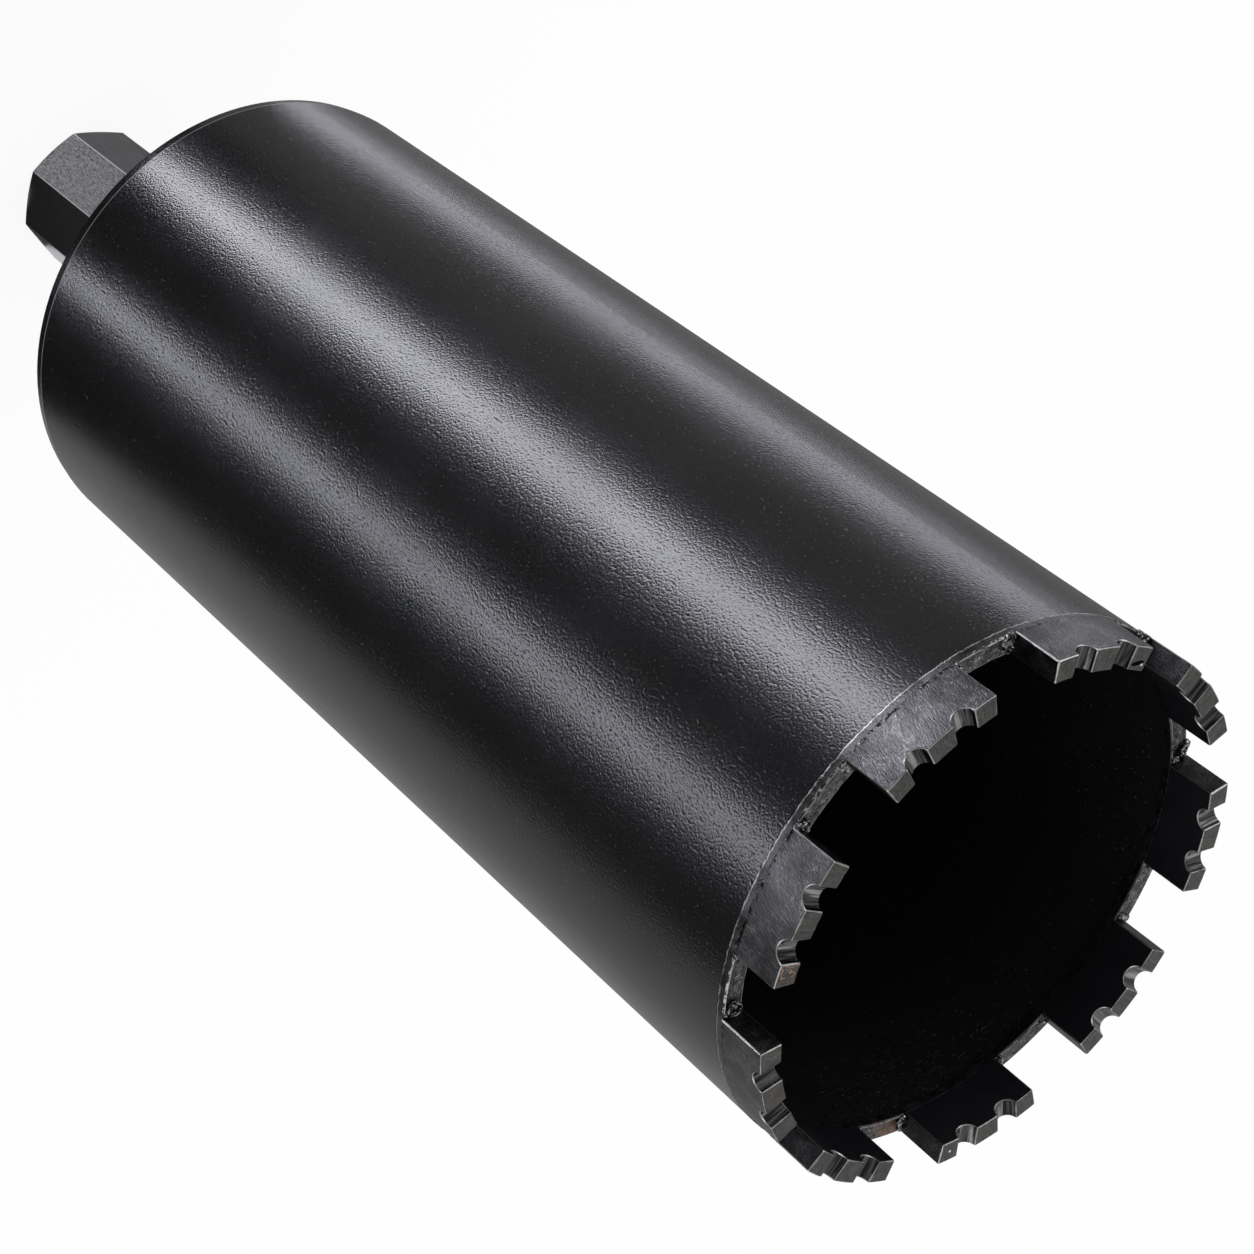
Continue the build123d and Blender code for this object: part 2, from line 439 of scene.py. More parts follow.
def bare_ring(finish):
    """Bare steel of the crown ring: smeared outside, slagged on its end face, dark in its bore."""
    material, tree = new_material("bare_ring")
    position, height, radius, azimuth, unrolled = place(tree)
    steel = finish.ring_colour
    to_rim = minus(tree, RIM, height)
    bore = fading(tree, radius, RING_BORE + 0.1 * MM, RING_BORE + 0.3 * MM)
    end_face = between(tree, height, RIM - 0.12 * MM, RIM - 0.05 * MM)
    outer = between(tree, radius, BARREL_RADIUS - 0.35 * MM, BARREL_RADIUS - 0.2 * MM)
    mottle = grain(tree, position, 2.6 * MM, detail=5.0, roughness=0.6)
    streak = grain(tree, stretched(tree, unrolled, (0.2, 1.0, 1.0)), 0.4 * MM, detail=3.0)
    slag = grain(tree, position, 1.5 * MM, detail=4.0, roughness=0.6, distortion=1.2)
    tone = blend(tree, between(tree, mottle, 0.35, 0.65), shade(steel, 0.45), shade(steel, 1.2))
    tone = blend(tree, times(tree, streak, 0.35), tone, shade(steel, 0.4))

    # Beside each segment the end face is burnt black and beaded, and midway it is ground steel
    from_segment = minus(tree, times(tree, from_middle(tree, azimuth), CUT_RADIUS), HALF_ARC * CUT_RADIUS)
    beside = between(tree, from_segment, -0.4 * MM, 0.4 * MM)
    burnt = fading(tree, plus(tree, from_segment, times(tree, mottle, 5.0 * MM)), 3.2 * MM, 5.0 * MM)
    ground = blend(tree, between(tree, streak, 0.35, 0.65), shade(steel, 0.15), shade(steel, 0.65))
    ground = blend(tree, between(tree, slag, 0.5, 0.56, 0.0, 0.9), ground, BURNT)
    scored = hairlines(tree, position, 1.3 * MM, 0.016, distortion=0.8)
    ground = blend(tree, times(tree, scored, 0.6), ground, SCORED_STEEL)
    charred = blend(tree, between(tree, slag, 0.42, 0.6), BURNT, shade(steel, 0.6))
    # Thin bright lines over the charred steel are painted glints
    glints = hairlines(tree, position, 1.9 * MM, 0.022, distortion=1.0)
    glints = times(tree, glints, between(tree, mottle, 0.45, 0.6))
    charred = blend(tree, glints, charred, STEEL_GLINT)
    tone = blend(tree, times(tree, times(tree, outer, beside), 0.7), tone, shade(steel, 0.2))
    tone = blend(tree, end_face, tone, blend(tree, burnt, ground, charred))

    # The paint ends in a ragged line, with a painted glint along parts of it
    ragged = plus(tree, height, times(tree, minus(tree, slag, 0.5), 0.9 * MM))
    paint_edge_glint = fading(tree, apart(tree, ragged, RING_SEAT + 0.22 * MM), 0.05 * MM, 0.15 * MM)
    paint_edge_glint = times(tree, paint_edge_glint, between(tree, mottle, 0.36, 0.52, 0.2, 1.0))
    paint_end = fading(tree, ragged, RING_SEAT, RING_SEAT + 0.1 * MM)
    tone = blend(tree, times(tree, paint_end, outer), tone, PAINT_END)
    tone = blend(tree, times(tree, paint_edge_glint, outer), tone, STEEL_GLINT)

    # Groove of the joint under each segment, broken by braze that fills it and widest under the fourth
    under = fading(tree, from_segment, -0.2 * MM, 0.3 * MM)
    groove = times(tree, between(tree, height, RIM - 0.5 * MM, RIM - 0.3 * MM), under)
    open_joint = times(tree, by_azimuth(tree, azimuth, 120.0, 13.0, 1.0), 0.12)
    groove = times(tree, groove, between(tree, plus(tree, slag, open_joint), 0.46, 0.54))
    tone = blend(tree, times(tree, groove, outer), tone, GROOVE)
    rub = times(tree, between(tree, height, RIM - 0.42 * MM, RIM - 0.34 * MM), outer)
    rub = times(tree, rub, fading(tree, plus(tree, under, slag), 0.4, 0.5, 0.8))
    tone = blend(tree, rub, tone, RUBBED_RING)

    # Both edges of the rim are rubbed bright between the segments
    for to_side, most in (
        (minus(tree, BARREL_RADIUS, radius), 0.6),
        (minus(tree, radius, RING_BORE), 0.45),
    ):
        edge = fading(tree, plus(tree, to_side, to_rim), 0.33 * MM, 0.40 * MM, most)
        edge = times(tree, edge, fading(tree, to_rim, 0.07 * MM, 0.14 * MM))
        edge = times(tree, edge, times(tree, beside, between(tree, mottle, 0.36, 0.5)))
        tone = blend(tree, edge, tone, RUBBED_RIM)

    # Brown tint of heat between the fifth and the sixth segment
    heat = times(tree, by_azimuth(tree, azimuth, 184.0, 5.0, 2.0), between(tree, mottle, 0.42, 0.6))
    tone = blend(tree, times(tree, heat, 0.7), tone, HEAT_TINT)
    deep = calc(tree, "MAXIMUM", between(tree, to_rim, 0.2 * MM, 0.3 * MM), minus(tree, 1.0, beside))
    tone = blend(tree, times(tree, bore, deep), tone, RING_INSIDE)
    rough = between(tree, mottle, 0.3, 0.7, 0.32, 0.5)
    finish_metal(tree, tone, rough, plus(tree, slag, times(tree, streak, 0.3)), 0.16 * MM)
    return material


def sintered(finish):
    """Sintered metal with scratched outer faces, ground cutting ends and edges rubbed bright."""
    material, tree = new_material("sintered_segment")
    position, height, radius, azimuth, unrolled = place(tree)
    turn = from_middle(tree, azimuth)
    to_outer = minus(tree, CUT_RADIUS, radius)
    to_inner = minus(tree, radius, CORE_RADIUS)
    to_tip = minus(tree, TIP, height)
    to_end = times(tree, minus(tree, HALF_ARC, turn), radius)
    sideways = times(tree, minus(tree, turn, GULLET_TURN), radius)
    to_gullet = minus(tree, calc(tree, "SQRT", squares(tree, sideways, to_tip)), GULLET_RADIUS)
    to_face = calc(tree, "MINIMUM", to_outer, to_inner)

    # Distance from the nearest edge, where two faces meet
    edge = None
    for first, second in itertools.combinations((to_face, to_tip, to_end, to_gullet), 2):
        corner = calc(tree, "MAXIMUM", first, second)
        edge = corner if edge is None else calc(tree, "MINIMUM", edge, corner)

    mottle = grain(tree, position, 3.6 * MM, detail=5.0, roughness=0.6, distortion=0.4)
    speck = grain(tree, position, 0.3 * MM)
    cloud = grain(tree, position, 4.5 * MM)
    along = stretched(tree, unrolled, (1.0, 0.2, 1.0), (0.0, 0.0, 0.35))
    wander = hairlines(tree, along, 0.6 * MM, 0.035, distortion=0.9)
    curl = hairlines(tree, position, 1.5 * MM, 0.03, distortion=1.6)
    fine = grain(tree, along, 0.24 * MM, detail=1.0, distortion=0.3)
    brushed = grain(tree, stretched(tree, unrolled, (1.0, 0.1, 0.1)), 0.2 * MM)
    rubbed = plus(tree, edge, times(tree, minus(tree, mottle, 0.5), 0.3 * MM))
    worn = fading(tree, rubbed, 0.15 * MM, 0.23 * MM)
    outer, inner, land, gullet = (
        fading(tree, depth, 0.02 * MM, 0.06 * MM) for depth in (to_outer, to_inner, to_tip, to_gullet)
    )

    # Outer faces, clouded and scratched, with the joint at the foot showing black in places
    base = finish.colour
    face = blend(tree, between(tree, cloud, 0.32, 0.66), shade(base, 0.62), shade(base, 1.2))
    face = blend(tree, between(tree, fine, 0.36, 0.64), face, shade(base, 0.72))
    strong = between(tree, cloud, 0.4, 0.62, 0.05, 0.6)
    scuffed = times(tree, calc(tree, "MAXIMUM", wander, curl), strong)
    face = blend(tree, scuffed, face, shade(base, 2.6))
    low = between(tree, height, RIM + 0.9 * MM, RIM + 0.2 * MM)
    joint = grain(tree, position, 1.1 * MM, detail=3.0, distortion=1.0)
    face = blend(tree, times(tree, low, between(tree, joint, 0.5, 0.56)), face, OPEN_JOINT)

    # Cutting ends, ground and speckled
    ends = finish.land_colour
    ground = blend(tree, between(tree, brushed, 0.35, 0.65), shade(ends, 0.7), shade(ends, 1.35))
    ground = blend(tree, between(tree, speck, 0.58, 0.66, 0.0, 0.6), ground, shade(ends, 0.35))
    ground = blend(tree, between(tree, mottle, 0.5, 0.66, 0.0, 0.5), ground, shade(ends, 1.9))
    scored = hairlines(tree, position, 1.6 * MM, 0.014, distortion=0.4)
    ground = blend(tree, times(tree, scored, 0.5), ground, shade(ends, 3.5))

    # Rust-brown strokes on one cutting end of the third segment
    strokes = hairlines(tree, position, 2.4 * MM, 0.03, distortion=0.6)
    stain = times(tree, by_azimuth(tree, azimuth, 89.4, 1.5), strokes)
    ground = blend(tree, times(tree, stain, 0.75), ground, STAIN)

    chipped = oval_mark(tree, azimuth, radius, *CHIP)
    ground = blend(tree, chipped, ground, CHIP_COLOUR)
    for *mark, colour in FLECKS:
        ground = blend(tree, oval_mark(tree, azimuth, radius, *mark), ground, colour)
    chip = times(tree, chipped, land)

    # Ends of the segments, with the other faces laid over them
    tone = blend(tree, between(tree, mottle, 0.35, 0.65), shade(base, 0.25), shade(base, 0.85))
    tone = blend(tree, between(tree, fine, 0.45, 0.6), tone, shade(base, 0.3))
    fluted = grain(tree, stretched(tree, unrolled, (1.0, 1.0, 0.06)), 0.42 * MM, detail=1.0)
    swept = blend(tree, between(tree, fluted, 0.38, 0.62), shade(base, 0.3), shade(base, 1.5))
    for mask, colour in (
        (gullet, swept), (outer, face), (land, ground), (worn, finish.edge_colour), (inner, INNER_FACE),
    ):
        tone = blend(tree, mask, tone, colour)

    rough = plus(tree, finish.roughness - 0.06, times(tree, mottle, 0.12))
    rough = minus(tree, rough, times(tree, gullet, 0.2))
    rough = plus(tree, rough, times(tree, land, 0.06))
    shape = times(tree, plus(tree, fine, times(tree, wander, 0.4)), plus(tree, times(tree, outer, 0.7), 0.1))
    shape = plus(tree, shape, times(tree, brushed, 0.15))
    shape = plus(tree, shape, times(tree, mottle, 0.45))
    shape = plus(tree, shape, times(tree, fluted, times(tree, gullet, 0.8)))
    # The chip is a pit that mirrors nothing
    finish_metal(tree, tone, rough, shape, 0.07 * MM, metallic=minus(tree, 1.0, chip), specular=0.0)
    return material


def braze_metal(finish):
    """Solidified braze, glossy grey over burnt patches, with painted glints in bright specks."""
    material, tree = new_material("braze_metal")
    position = object_position(tree)
    patches = grain(tree, position, 1.4 * MM, detail=4.0, roughness=0.6, distortion=0.8)
    fine = grain(tree, position, 0.4 * MM, detail=3.0)
    tone = blend(tree, between(tree, patches, 0.42, 0.6), BURNT_BRAZE, finish.braze_colour)
    # Bright specks are painted glints of the rounded lumps
    tone = blend(tree, between(tree, fine, 0.54, 0.64), tone, shade(finish.braze_colour, 3.0))
    rough = between(tree, fine, 0.3, 0.7, 0.2, 0.4)
    finish_metal(tree, tone, rough, fine, 0.06 * MM)
    return material


def blackened_hub(finish):
    """Blackened steel of the hub: drawn along its axis, one flat etched to a speckle, thread cut bright."""
    material, tree = new_material("blackened_hub")
    position, _, radius, azimuth, unrolled = place(tree)
    drawn = grain(tree, stretched(tree, unrolled, (1.0, 0.05, 1.0)), 0.5 * MM, detail=3.0)
    speckle = stretched(tree, unrolled, (1.0, 0.6, 1.0))
    etched = grain(tree, speckle, 0.7 * MM, detail=3.0, roughness=0.6, distortion=0.6)
    cloud = grain(tree, position, 7 * MM, detail=3.0)
    rough_flat = by_azimuth(tree, azimuth, *ETCHED_FLAT)
    steel = finish.hub_colour
    smooth = blend(tree, between(tree, drawn, 0.3, 0.7), shade(steel, 0.8), shade(steel, 1.2))
    speckled = blend(tree, between(tree, etched, 0.38, 0.62), shade(steel, 0.7), shade(steel, 2.2))
    tone = blend(tree, rough_flat, smooth, speckled)
    tone = blend(tree, between(tree, cloud, 0.35, 0.7, 0.0, 0.25), tone, shade(steel, 1.5))

    # Painted highlight along the long edges between the flats
    side = math.tau / HUB_SIDES
    local = calc(tree, "WRAP", minus(tree, azimuth, HUB_TURN), side / 2, -side / 2)
    from_corner = times(tree, radius, calc(tree, "ABSOLUTE", local))
    uneven = plus(tree, from_corner, times(tree, etched, 0.3 * MM))
    corner = HUB_FLATS / 2 / math.cos(side / 2)
    outside = between(tree, radius, corner - 0.25 * MM, corner - 0.15 * MM)
    tone = blend(tree, times(tree, fading(tree, uneven, 0.26 * MM, 0.36 * MM), outside), tone, HUB_EDGE_HIGHLIGHT)

    tone = blend(tree, fading(tree, radius, 11.2 * MM, 11.6 * MM, 0.8), tone, CUT_THREAD)
    rough = plus(tree, 0.36, times(tree, rough_flat, 0.1))
    shape = plus(tree, times(tree, etched, plus(tree, rough_flat, 0.15)), times(tree, drawn, 0.4))
    finish_metal(tree, tone, rough, shape, 0.05 * MM)
    return material


def blackened_weld(finish):
    """Weld bead under a burnt skin."""
    material, tree = new_material("blackened_weld")
    skin = grain(tree, object_position(tree), 1.4 * MM, detail=5.0, roughness=0.65)
    tone = blend(tree, skin, shade(finish.hub_colour, 0.5), shade(finish.hub_colour, 2.2))
    rough = between(tree, skin, 0.3, 0.7, 0.35, 0.55)
    finish_metal(tree, tone, rough, skin, 0.08 * MM)
    return material


# Mesh helpers

def object_from(bm, name):
    """Object in the scene from a bmesh, which is freed."""
    mesh = bpy.data.meshes.new(name)
    bm.to_mesh(mesh)
    bm.free()
    made = bpy.data.objects.new(name, mesh)
    bpy.context.scene.collection.objects.link(made)
    return made


def with_modifiers(made):
    """Bmesh of an object with its modifiers applied."""
    depsgraph = bpy.context.evaluated_depsgraph_get()
    mesh = bpy.data.meshes.new_from_object(made.evaluated_get(depsgraph))
    bm = bmesh.new()
    bm.from_mesh(mesh)
    bpy.data.meshes.remove(mesh)
    return bm


def discard(made):
    """Removes a helper object and its mesh."""
    mesh = made.data
    bpy.data.objects.remove(made)
    bpy.data.meshes.remove(mesh)


def new_piece(name, bm, material, slot, *replaced, smooth=True):
    """Object of the bit from a bmesh, riding on its body."""
    piece = object_from(bm, name)
    piece.data.materials.append(material)
    for polygon in piece.data.polygons:
        polygon.use_smooth = smooth
    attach(piece, "root")
    if replaced:
        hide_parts(*replaced)


def around(radius, azimuth, height):
    """Point from its radius, azimuth and height."""
    return Vector((radius * math.cos(azimuth), radius * math.sin(azimuth), height))


def pull_in(vert, limit):
    """Moves a vertex towards the axis until its radius is within the limit."""
    reach = Vector((vert.co.x, vert.co.y)).length
    if reach > limit:
        vert.co.x *= limit / reach
        vert.co.y *= limit / reach


def fused(bm, voxel):
    """The bmesh's shells melted into one skin, as a new bmesh."""
    melt = object_from(bm, "melt")
    remesh = melt.modifiers.new("melt", "REMESH")
    remesh.mode = "VOXEL"
    remesh.voxel_size = voxel
    result = with_modifiers(melt)
    discard(melt)
    return result


def add_lump(bm, centre, size, flatten, seed):
    """One rounded lump with a wrinkled skin."""
    made = bmesh.ops.create_icosphere(bm, subdivisions=3, radius=1.0)
    for vert in made["verts"]:
        direction = vert.co.normalized()
        wrinkle = 1.0 + 0.28 * noise.noise(direction * 1.7 + Vector((seed, 0.0, 0.0)))
        wrinkle += 0.1 * noise.noise(direction * 4.0 + Vector((0.0, seed, 0.0)))
        shape = direction * wrinkle
        vert.co = Vector((shape.x, shape.y, shape.z * flatten)) * size + centre


# Operators

class CORE_BIT_OT_dress_barrel(bpy.types.Operator):
    """Give the barrel and the back plate their powder coat"""

    bl_idname = "core_bit.dress_barrel"
    bl_label = "Dress barrel and back plate"

    def execute(self, context):
        coat = powder_coat(context.scene.core_bit_paint)
        wear("barrel", coat)
        wear("back_plate", coat)
        return {"FINISHED"}


class CORE_BIT_OT_dress_crown_ring(bpy.types.Operator):
    """Give the crown ring its bare steel"""

    bl_idname = "core_bit.dress_crown_ring"
    bl_label = "Dress crown ring"

    def execute(self, context):
        wear("crown_ring", bare_ring(context.scene.core_bit_steel))
        return {"FINISHED"}


class CORE_BIT_OT_dress_segments(bpy.types.Operator):
    """Give the diamond segments their sintered metal"""

    bl_idname = "core_bit.dress_segments"
    bl_label = "Dress segments"

    def execute(self, context):
        metal = sintered(context.scene.core_bit_segment)
        for number in range(1, SEGMENTS + 1):
            wear(f"segment_{number}", metal)
        return {"FINISHED"}


class CORE_BIT_OT_make_braze(bpy.types.Operator):
    """Model the lumps of braze at the ends of each segment's foot"""

    bl_idname = "core_bit.make_braze"
    bl_label = "Make braze"

    # Beads in the ring round a hole that gas blew: how many, and the ring's radius and rise by the lump's size
    beads = 22
    bead_ring = 0.76
    bead_rise = 0.45
    # Lumps at an end that the table below leaves out, and the grain at which lumps are melted together
    plain_lumps = 4
    voxel = 0.11 * MM
    # Lumps that the photograph shows: segment and side, then offset from the end of the segment, place
    # across the ring from its bore, and size, all in millimetres, and a word where gas blew it open
    seen = {
        (1, 1): ((1.1, 3.2, 1.2), (1.4, 1.6, 1.1, BLOWN), (0.4, 2.3, 0.8), (2.4, 2.8, 0.7)),
        (2, -1): ((0.7, 3.0, 1.0), (1.5, 1.9, 0.8, BLOWN), (0.5, 1.2, 0.7)),
        (2, 1): ((0.5, 3.3, 0.9), (0.7, 2.1, 0.8), (1.6, 3.2, 0.5)),
        (3, -1): ((1.2, 2.3, 1.15, BLOWN), (0.5, 3.3, 0.8), (0.4, 1.1, 0.7)),
        (3, 1): ((0.6, 2.9, 0.9), (0.9, 1.4, 0.6)),
        (4, -1): ((1.6, 2.1, 1.7, BLOWN), (0.5, 1.0, 0.8), (0.6, 3.1, 0.7)),
        (9, 1): ((0.7, 3.4, 1.0), (2.0, 3.7, 0.8), (3.4, 3.8, 0.7), (0.9, 1.6, 0.9)),
        (8, 1): ((0.8, 1.0, 0.9), (2.4, 2.6, 1.1, BLOWN), (3.2, 3.5, 0.9), (0.9, 2.8, 0.7)),
        (7, 1): ((0.9, 1.2, 1.0), (1.0, 2.8, 0.8, BLOWN)),
        (6, -1): ((0.9, 1.1, 1.1), (0.7, 2.8, 0.8)),
    }

    def execute(self, context):
        shape = context.scene.core_bit_braze
        metal = braze_metal(context.scene.core_bit_steel)
        draw = random.Random(shape.seed)
        for number in range(1, SEGMENTS + 1):
            bm = bmesh.new()
            for side in (-1, 1):
                for offset, across, size, *blown in self.lumps_at(number, side, shape, draw):
                    azimuth = (number - 1) * PITCH + side * (HALF_ARC + offset * MM / CUT_RADIUS)
                    spot = around(RING_BORE + across * MM, azimuth, RIM + 0.1 * MM)
                    self.add_lumps(bm, spot, size * MM, blown, draw)
            bm = fused(bm, self.voxel)
            for vert in bm.verts:
                pull_in(vert, CUT_RADIUS - 0.02 * MM)
            bmesh.ops.smooth_vert(
                bm, verts=bm.verts[:], factor=0.5, use_axis_x=True, use_axis_y=True, use_axis_z=True
            )
            new_piece(f"braze_lumps_{number}", bm, metal, "braze", f"braze_{number}")
        return {"FINISHED"}

    def lumps_at(self, number, side, shape, draw):
        """Lumps at one end of a segment, as the photograph shows them or as they fall."""
        if (number, side) in self.seen:
            return self.seen[number, side]
        return [
            (draw.uniform(0.1, 0.9), draw.uniform(0.6, 3.2), shape.lump / MM * draw.uniform(0.6, 1.1))
            for _ in range(self.plain_lumps)
        ]

    def add_lumps(self, bm, spot, size, blown, draw):
        """A plain lump, or a flat one with a ring of beads round the hole that gas blew."""
        if not blown:
            add_lump(bm, spot, size, 0.75, draw.uniform(0.0, 90.0))
            return
        add_lump(bm, spot, 0.8 * size, 0.3, draw.uniform(0.0, 90.0))
        for step in range(self.beads):
            turn = math.tau * (step + draw.uniform(-0.2, 0.2)) / self.beads
            bead = spot + around(1.0, turn, self.bead_rise) * (self.bead_ring * size)
            add_lump(bm, bead, draw.uniform(0.16, 0.2) * size, 1.0, draw.uniform(0.0, 90.0))


class CORE_BIT_OT_make_foot_seams(bpy.types.Operator):
    """Model the broken seam of braze along the outside of each segment's foot"""

    bl_idname = "core_bit.make_foot_seams"
    bl_label = "Make foot seams"

    thickness = 0.4 * MM
    centre_radius = CUT_RADIUS - 0.3 * MM
    centre_height = RIM - 0.05 * MM
    steps = 90

    def execute(self, context):
        metal = braze_metal(context.scene.core_bit_steel)
        for number in range(1, SEGMENTS + 1):
            start = (number - 1) * PITCH - HALF_ARC
            centre = around(self.centre_radius, start, self.centre_height)
            turn = Matrix.Rotation(start, 4, "Z") @ Matrix.Rotation(math.pi / 2, 4, "X")
            bm = bmesh.new()
            ring = bmesh.ops.create_circle(
                bm, segments=8, radius=self.thickness / 2, matrix=Matrix.Translation(centre) @ turn
            )
            bmesh.ops.spin(bm, geom=ring["verts"] + bm.edges[:], cent=(0, 0, 0), axis=(0, 0, 1),
                           angle=2 * HALF_ARC, steps=self.steps)
            bmesh.ops.holes_fill(bm, edges=[edge for edge in bm.edges if edge.is_boundary], sides=0)
            bmesh.ops.recalc_face_normals(bm, faces=bm.faces[:])
            for vert in bm.verts:
                azimuth = math.atan2(vert.co.y, vert.co.x)
                middle = around(self.centre_radius, azimuth, self.centre_height)
                swell = noise.noise(Vector((azimuth * 90.0, number * 3.1, 0.0)))
                ripple = noise.noise(vert.co * 2600.0)
                vert.co = middle + (vert.co - middle) * max(0.25, 0.9 + 1.1 * swell + 0.35 * ripple)
                vert.co.z += 0.1 * MM * noise.noise(Vector((azimuth * 40.0, 7.7, number)))
                pull_in(vert, CUT_RADIUS - 0.01 * MM)
            new_piece(f"foot_seam_{number}", bm, metal, "braze")
        return {"FINISHED"}


class CORE_BIT_OT_make_hub(bpy.types.Operator):
    """Cut the internal thread into the hub and black it"""

    bl_idname = "core_bit.make_hub"
    bl_label = "Make threaded hub"

    minor_radius = 9.315 * MM
    major_radius = 10.48 * MM
    steps = 72
    # Fewer faces than this mean that the thread wasn't cut
    least_faces = 500
    # Outline of one turn: share of the lead, and whether it lies at the major radius
    outline = ((0.0, False), (0.12, False), (0.44, True), (0.56, True), (0.88, False))

    def execute(self, context):
        blank = bmesh.new()
        blank.from_mesh(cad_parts["hub"].data)
        bmesh.ops.remove_doubles(blank, verts=blank.verts[:], dist=0.0005 * MM)
        blank = object_from(blank, "hub_blank")
        tap = object_from(self.tap(context.scene.core_bit_thread), "hub_tap")
        cut = blank.modifiers.new("thread", "BOOLEAN")
        cut.operation = "DIFFERENCE"
        cut.solver = "EXACT"
        cut.object = tap
        bm = with_modifiers(blank)
        discard(blank)
        discard(tap)
        if len(bm.faces) < self.least_faces:
            raise RuntimeError("the thread was not cut into the hub")
        black = blackened_hub(context.scene.core_bit_steel)
        new_piece("hub_threaded", bm, black, "hub_steel", "hub", smooth=False)
        return {"FINISHED"}

    def tap(self, thread):
        """Bmesh of the space that the thread leaves empty."""
        lead = INCH / thread.turns_per_inch
        turns = int(thread.depth / lead) + 4
        bm = bmesh.new()
        previous = None
        column = []
        for turn in range(turns + 1):
            for share, deep in self.outline:
                radius = self.major_radius if deep else self.minor_radius - 0.05 * MM
                vert = bm.verts.new((radius, 0.0, (turn + share - 2) * lead))
                column.append(vert)
                if previous is not None:
                    column.append(bm.edges.new((previous, vert)))
                previous = vert
        bmesh.ops.spin(bm, geom=column, cent=(0, 0, 0), axis=(0, 0, 1),
                       dvec=(0, 0, lead / self.steps), angle=math.tau, steps=self.steps)
        bmesh.ops.remove_doubles(bm, verts=bm.verts[:], dist=0.005 * MM)
        for height, outwards in ((-0.4 * MM, -1.0), (thread.depth, 1.0)):
            bmesh.ops.bisect_plane(bm, geom=bm.verts[:] + bm.edges[:] + bm.faces[:],
                                   plane_co=(0, 0, height), plane_no=(0, 0, outwards), clear_outer=True)
        bmesh.ops.holes_fill(bm, edges=[edge for edge in bm.edges if edge.is_boundary], sides=0)
        bmesh.ops.recalc_face_normals(bm, faces=bm.faces[:])
        return bm


class CORE_BIT_OT_make_hub_weld(bpy.types.Operator):
    """Model the rippled weld between the hub and the plate"""

    bl_idname = "core_bit.make_hub_weld"
    bl_label = "Make hub weld"

    leg = 3.0 * MM
    ripples = 66
    steps = 540

    def execute(self, context):
        flat = HUB_FLATS / 2
        leg = self.leg
        bm = bmesh.new()
        turn = Matrix.Translation((flat, 0.0, PLATE_FACE)) @ Matrix.Rotation(math.pi / 2, 4, "X")
        ring = bmesh.ops.create_circle(bm, segments=16, radius=leg, matrix=turn)
        bmesh.ops.spin(bm, geom=ring["verts"] + bm.edges[:], cent=(0, 0, 0), axis=(0, 0, 1),
                       angle=math.tau, steps=self.steps, use_merge=True)
        bmesh.ops.recalc_face_normals(bm, faces=bm.faces[:])
        for vert in bm.verts:
            azimuth = math.atan2(vert.co.y, vert.co.x)
            reach = Vector((vert.co.x, vert.co.y)).length - flat
            rise = vert.co.z - PLATE_FACE
            local = (azimuth - HUB_TURN) % (math.tau / HUB_SIDES) - math.pi / HUB_SIDES
            side = flat / math.cos(local)
            drift = 0.8 * noise.noise(Vector((azimuth * 9.0, 0.0, 0.0)))
            ripple = 0.5 + 0.5 * math.cos(azimuth * self.ripples + 1.4 * (reach / leg) ** 2 + drift)
            size = 0.86 + 0.07 * ripple + 0.07 * noise.noise(around(1.0, azimuth, 0.3) * 4.0)
            size = min(size, 0.995)
            spot = around(side + max(reach, -0.4 * leg) * size, azimuth, PLATE_FACE)
            vert.co = Vector((spot.x, spot.y, PLATE_FACE + min(max(rise, -leg) * size, 0.3 * MM)))
        new_piece("hub_weld_bead", bm, blackened_weld(context.scene.core_bit_steel), "weld", "hub_weld")
        return {"FINISHED"}


